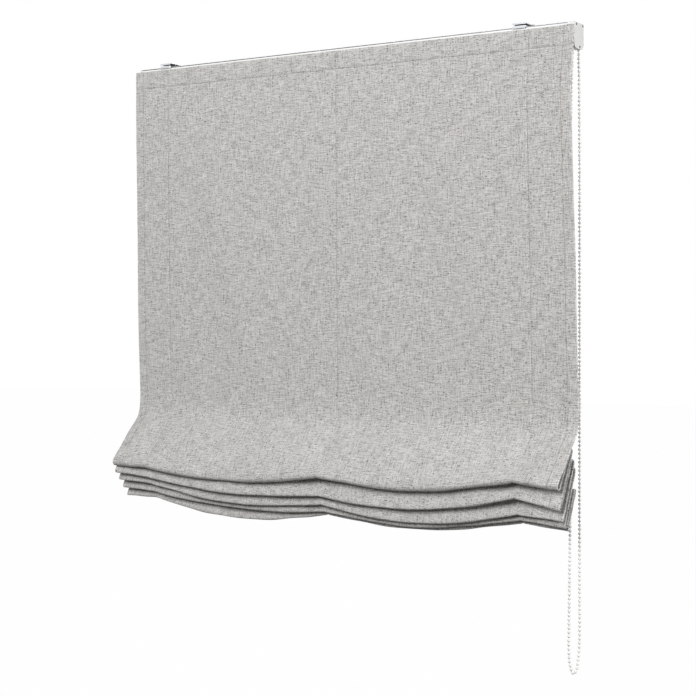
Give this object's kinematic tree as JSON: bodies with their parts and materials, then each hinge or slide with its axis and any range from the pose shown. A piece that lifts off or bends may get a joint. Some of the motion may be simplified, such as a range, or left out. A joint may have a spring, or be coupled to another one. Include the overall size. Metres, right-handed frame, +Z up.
{
  "type": "roman blind",
  "caption": "Soft-fold Roman blind: linen-look cloth hung from a slim headrail on twist-lock brackets, raised by cords wound on a shaft that a bead chain turns.",
  "frame": {"origin": "on the ceiling plane at the tops of the bracket plates, midway between the two bracket screw holes", "axes": "+X along the headrail to the control unit, +Y back towards the window, +Z up"},
  "size_m": [0.8, 0.1131, 0.9332],
  "materials": {
    "cloth": "woven linen-look cloth, matt",
    "rail_paint": "white powder coat",
    "white_plastic": "moulded, satin",
    "ring_plastic": "moulded, gloss",
    "bead_plastic": "moulded, gloss",
    "chrome": "bright plated",
    "spring_steel": "drawn",
    "dark_steel": "blackened",
    "lever_plastic": "moulded, satin",
    "cord": "braided polyester",
    "tape": "woven tape"
  },
  "bodies": {
    "headrail_assembly": {"shade_panel": "cloth", "headrail": "rail_paint", "hook_tape": "tape", "loop_tape": "tape", "left_end_cap": "white_plastic", "control_housing": "white_plastic", "control_cover": "white_plastic", "cover_screws": "dark_steel", "clutch_hub": "white_plastic", "brake_spring": "spring_steel", "cradle_left": "white_plastic", "cradle_middle": "white_plastic", "cradle_right": "white_plastic", "bracket_left": "chrome", "bracket_right": "chrome", "lever_rivet_left": "chrome", "lever_rivet_right": "chrome", "lift_cord_left": "cord", "lift_cord_middle": "cord", "lift_cord_right": "cord", "ring_tape_left": "tape", "ring_tape_middle": "tape", "ring_tape_right": "tape", "chain_cord": "cord", "chain_beads": "bead_plastic"},
    "fold_stack": {"shade_folds": "cloth", "fold_rings": "ring_plastic", "cord_releases": "ring_plastic"},
    "drive": {"chain_wheel": "white_plastic", "drive_shaft": "spring_steel", "spool_left": "white_plastic", "spool_middle": "white_plastic", "spool_right": "white_plastic", "wound_cord_left": "cord", "wound_cord_middle": "cord", "wound_cord_right": "cord"},
    "upper_ring_row": {"upper_rings": "ring_plastic"},
    "lower_ring_row": {"lower_rings": "ring_plastic"},
    "left_lever": {"bracket_lever_left": "lever_plastic"},
    "right_lever": {"bracket_lever_right": "lever_plastic"}
  },
  "joints": [
    {"name": "lift", "type": "slide", "parent": "headrail_assembly", "child": "fold_stack", "axis": [0, 0, 1], "range_m": [0, 0.45], "deforming": ["shade_panel", "ring_tape_left", "ring_tape_middle", "ring_tape_right", "lift_cord_left", "lift_cord_middle", "lift_cord_right"]},
    {"name": "drive_turn", "type": "hinge", "parent": "headrail_assembly", "child": "drive", "pos_m": [0, -0.025, -0.0233], "axis": [-1, 0, 0], "range_deg": [0, 3700]},
    {"name": "upper_rings_rise", "type": "slide", "parent": "headrail_assembly", "child": "upper_ring_row", "axis": [0, 0, 1], "range_m": [0, 0.1649]},
    {"name": "lower_rings_rise", "type": "slide", "parent": "headrail_assembly", "child": "lower_ring_row", "axis": [0, 0, 1], "range_m": [0, 0.3147]},
    {"name": "left_lever_turn", "type": "hinge", "parent": "headrail_assembly", "child": "left_lever", "pos_m": [-0.325, -0.025, 0], "axis": [0, 0, -1], "range_deg": [0, 90]},
    {"name": "right_lever_turn", "type": "hinge", "parent": "headrail_assembly", "child": "right_lever", "pos_m": [0.325, -0.025, 0], "axis": [0, 0, -1], "range_deg": [0, 90]}
  ],
  "couplings": [
    {"joint": "drive_turn", "follows": "lift", "rad_per_m": 142.86},
    {"joint": "upper_rings_rise", "follows": "lift", "ratio": 0.36417},
    {"joint": "lower_rings_rise", "follows": "lift", "ratio": 0.69722}
  ]
}
